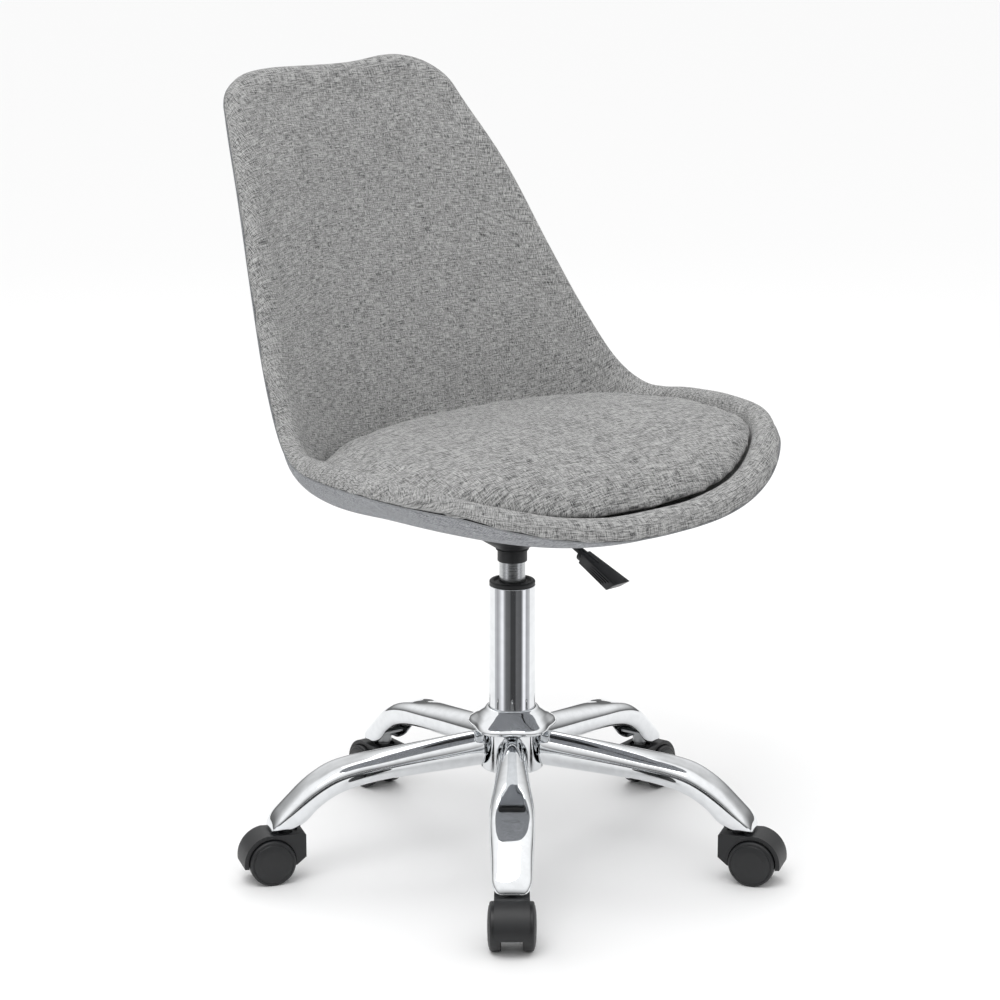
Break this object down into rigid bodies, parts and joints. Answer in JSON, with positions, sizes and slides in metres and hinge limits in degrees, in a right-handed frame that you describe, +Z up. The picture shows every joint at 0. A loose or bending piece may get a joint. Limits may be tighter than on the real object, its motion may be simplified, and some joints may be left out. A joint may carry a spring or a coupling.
{
  "type": "swivel office chair",
  "caption": "Swivel office chair: upholstered bucket seat with a loose cushion, gas lift with release lever, chromed star base and twin-wheel casters.",
  "frame": {"origin": "middle of the chair's outline on the floor, at rest; the lift column's axis stands at x = -5 mm, y = -12 mm", "axes": "+Z up, the sitter faces -Y, +X to the sitter's left"},
  "size_m": [0.5945, 0.5812, 0.8419],
  "materials": {
    "chrome": "mirror polished chrome plate",
    "satin_steel": "satin ground steel",
    "zinc_steel": "zinc plated steel",
    "black_plastic": "matt moulded nylon with a fine grain",
    "wheel_plastic": "satin moulded nylon",
    "lever_plastic": "satin moulded plastic",
    "black_steel": "satin black powder coat",
    "white_nylon": "natural nylon",
    "rubber": "moulded rubber",
    "plywood": "unfinished birch plywood",
    "linen_fabric": "heathered grey plain weave, linen look",
    "back_fabric": "bluish grey plain weave, linen look"
  },
  "bodies": {
    "base": {"base_hub": "chrome", "leg_1": "chrome", "leg_2": "chrome", "leg_3": "chrome", "leg_4": "chrome", "leg_5": "chrome", "column_tube": "chrome", "column_guide_bush": "black_plastic", "thrust_washer_lower": "zinc_steel", "thrust_bearing_cage": "white_nylon", "caster_1_stem": "zinc_steel", "caster_2_stem": "zinc_steel", "caster_3_stem": "zinc_steel", "caster_4_stem": "zinc_steel", "caster_5_stem": "zinc_steel"},
    "piston": {"piston_rod": "satin_steel", "rod_retaining_clip": "zinc_steel", "thrust_washer_upper": "zinc_steel", "height_stop_buffer": "rubber"},
    "seat": {"gas_cylinder": "satin_steel", "lift_sleeve": "black_plastic", "lift_ribbed_ring": "black_plastic", "mechanism_dish": "black_plastic", "seat_mechanism": "black_steel", "mount_bolt_1": "zinc_steel", "mount_bolt_2": "zinc_steel", "mount_bolt_3": "zinc_steel", "mount_bolt_4": "zinc_steel", "lever_pivot_pin": "zinc_steel", "seat_board": "plywood", "shell_core": "black_plastic", "back_cover": "back_fabric", "back_and_arm_padding": "linen_fabric", "seat_cushion": "linen_fabric"},
    "lever": {"release_lever": "black_steel", "lever_paddle": "lever_plastic"},
    "release_pin": {"valve_release_pin": "zinc_steel"},
    "caster_1": {"caster_1_hood": "black_plastic", "caster_1_axle": "zinc_steel"},
    "wheel_1_left": {"caster_1_wheel_left": "wheel_plastic"},
    "wheel_1_right": {"caster_1_wheel_right": "wheel_plastic"},
    "caster_2": {"caster_2_hood": "black_plastic", "caster_2_axle": "zinc_steel"},
    "wheel_2_left": {"caster_2_wheel_left": "wheel_plastic"},
    "wheel_2_right": {"caster_2_wheel_right": "wheel_plastic"},
    "caster_3": {"caster_3_hood": "black_plastic", "caster_3_axle": "zinc_steel"},
    "wheel_3_left": {"caster_3_wheel_left": "wheel_plastic"},
    "wheel_3_right": {"caster_3_wheel_right": "wheel_plastic"},
    "caster_4": {"caster_4_hood": "black_plastic", "caster_4_axle": "zinc_steel"},
    "wheel_4_left": {"caster_4_wheel_left": "wheel_plastic"},
    "wheel_4_right": {"caster_4_wheel_right": "wheel_plastic"},
    "caster_5": {"caster_5_hood": "black_plastic", "caster_5_axle": "zinc_steel"},
    "wheel_5_left": {"caster_5_wheel_left": "wheel_plastic"},
    "wheel_5_right": {"caster_5_wheel_right": "wheel_plastic"}
  },
  "joints": [
    {"name": "seat_swivel", "type": "hinge", "parent": "base", "child": "piston", "pos_m": [-0.005, -0.012, 0.1], "axis": [0, 0, 1], "continuous": true},
    {"name": "seat_height", "type": "slide", "parent": "piston", "child": "seat", "axis": [0, 0, 1], "range_m": [-0.02, 0.085]},
    {"name": "lever_lift", "type": "hinge", "parent": "seat", "child": "lever", "pos_m": [-0.005, -0.042, 0.382], "axis": [-1, 0, 0], "range_deg": [0, 6], "stiffness_Nm_per_rad": 1.5, "springref_deg": -8.59},
    {"name": "pin_press", "type": "slide", "parent": "seat", "child": "release_pin", "axis": [0, 0, -1], "range_m": [0, 0.0036]},
    {"name": "caster_1_swivel", "type": "hinge", "parent": "base", "child": "caster_1", "pos_m": [-0.1846, -0.1916, 0.05], "axis": [0, 0, 1], "continuous": true},
    {"name": "wheel_1_left_spin", "type": "hinge", "parent": "caster_1", "child": "wheel_1_left", "pos_m": [-0.19804, -0.20504, 0.025], "axis": [0.7071, -0.7071, 0], "continuous": true},
    {"name": "wheel_1_right_spin", "type": "hinge", "parent": "caster_1", "child": "wheel_1_right", "pos_m": [-0.19804, -0.20504, 0.025], "axis": [0.7071, -0.7071, 0], "continuous": true},
    {"name": "caster_2_swivel", "type": "hinge", "parent": "base", "child": "caster_2", "pos_m": [0.11031, -0.23832, 0.05], "axis": [0, 0, 1], "continuous": true},
    {"name": "wheel_2_left_spin", "type": "hinge", "parent": "caster_2", "child": "wheel_2_left", "pos_m": [0.11894, -0.25524, 0.025], "axis": [0.891, 0.454, 0], "continuous": true},
    {"name": "wheel_2_right_spin", "type": "hinge", "parent": "caster_2", "child": "wheel_2_right", "pos_m": [0.11894, -0.25524, 0.025], "axis": [0.891, 0.454, 0], "continuous": true},
    {"name": "caster_3_swivel", "type": "hinge", "parent": "base", "child": "caster_3", "pos_m": [0.24587, 0.02773, 0.05], "axis": [0, 0, 1], "continuous": true},
    {"name": "wheel_3_left_spin", "type": "hinge", "parent": "caster_3", "child": "wheel_3_left", "pos_m": [0.26464, 0.03071, 0.025], "axis": [-0.1564, 0.9877, 0], "continuous": true},
    {"name": "wheel_3_right_spin", "type": "hinge", "parent": "caster_3", "child": "wheel_3_right", "pos_m": [0.26464, 0.03071, 0.025], "axis": [-0.1564, 0.9877, 0], "continuous": true},
    {"name": "caster_4_swivel", "type": "hinge", "parent": "base", "child": "caster_4", "pos_m": [0.03473, 0.23887, 0.05], "axis": [0, 0, 1], "continuous": true},
    {"name": "wheel_4_left_spin", "type": "hinge", "parent": "caster_4", "child": "wheel_4_left", "pos_m": [0.03771, 0.25764, 0.025], "axis": [-0.9877, 0.1564, 0], "continuous": true},
    {"name": "wheel_4_right_spin", "type": "hinge", "parent": "caster_4", "child": "wheel_4_right", "pos_m": [0.03771, 0.25764, 0.025], "axis": [-0.9877, 0.1564, 0], "continuous": true},
    {"name": "caster_5_swivel", "type": "hinge", "parent": "base", "child": "caster_5", "pos_m": [-0.23132, 0.10331, 0.05], "axis": [0, 0, 1], "continuous": true},
    {"name": "wheel_5_left_spin", "type": "hinge", "parent": "caster_5", "child": "wheel_5_left", "pos_m": [-0.24824, 0.11194, 0.025], "axis": [-0.454, -0.891, 0], "continuous": true},
    {"name": "wheel_5_right_spin", "type": "hinge", "parent": "caster_5", "child": "wheel_5_right", "pos_m": [-0.24824, 0.11194, 0.025], "axis": [-0.454, -0.891, 0], "continuous": true}
  ],
  "couplings": [
    {"joint": "pin_press", "follows": "lever_lift", "m_per_rad": 0.032}
  ]
}
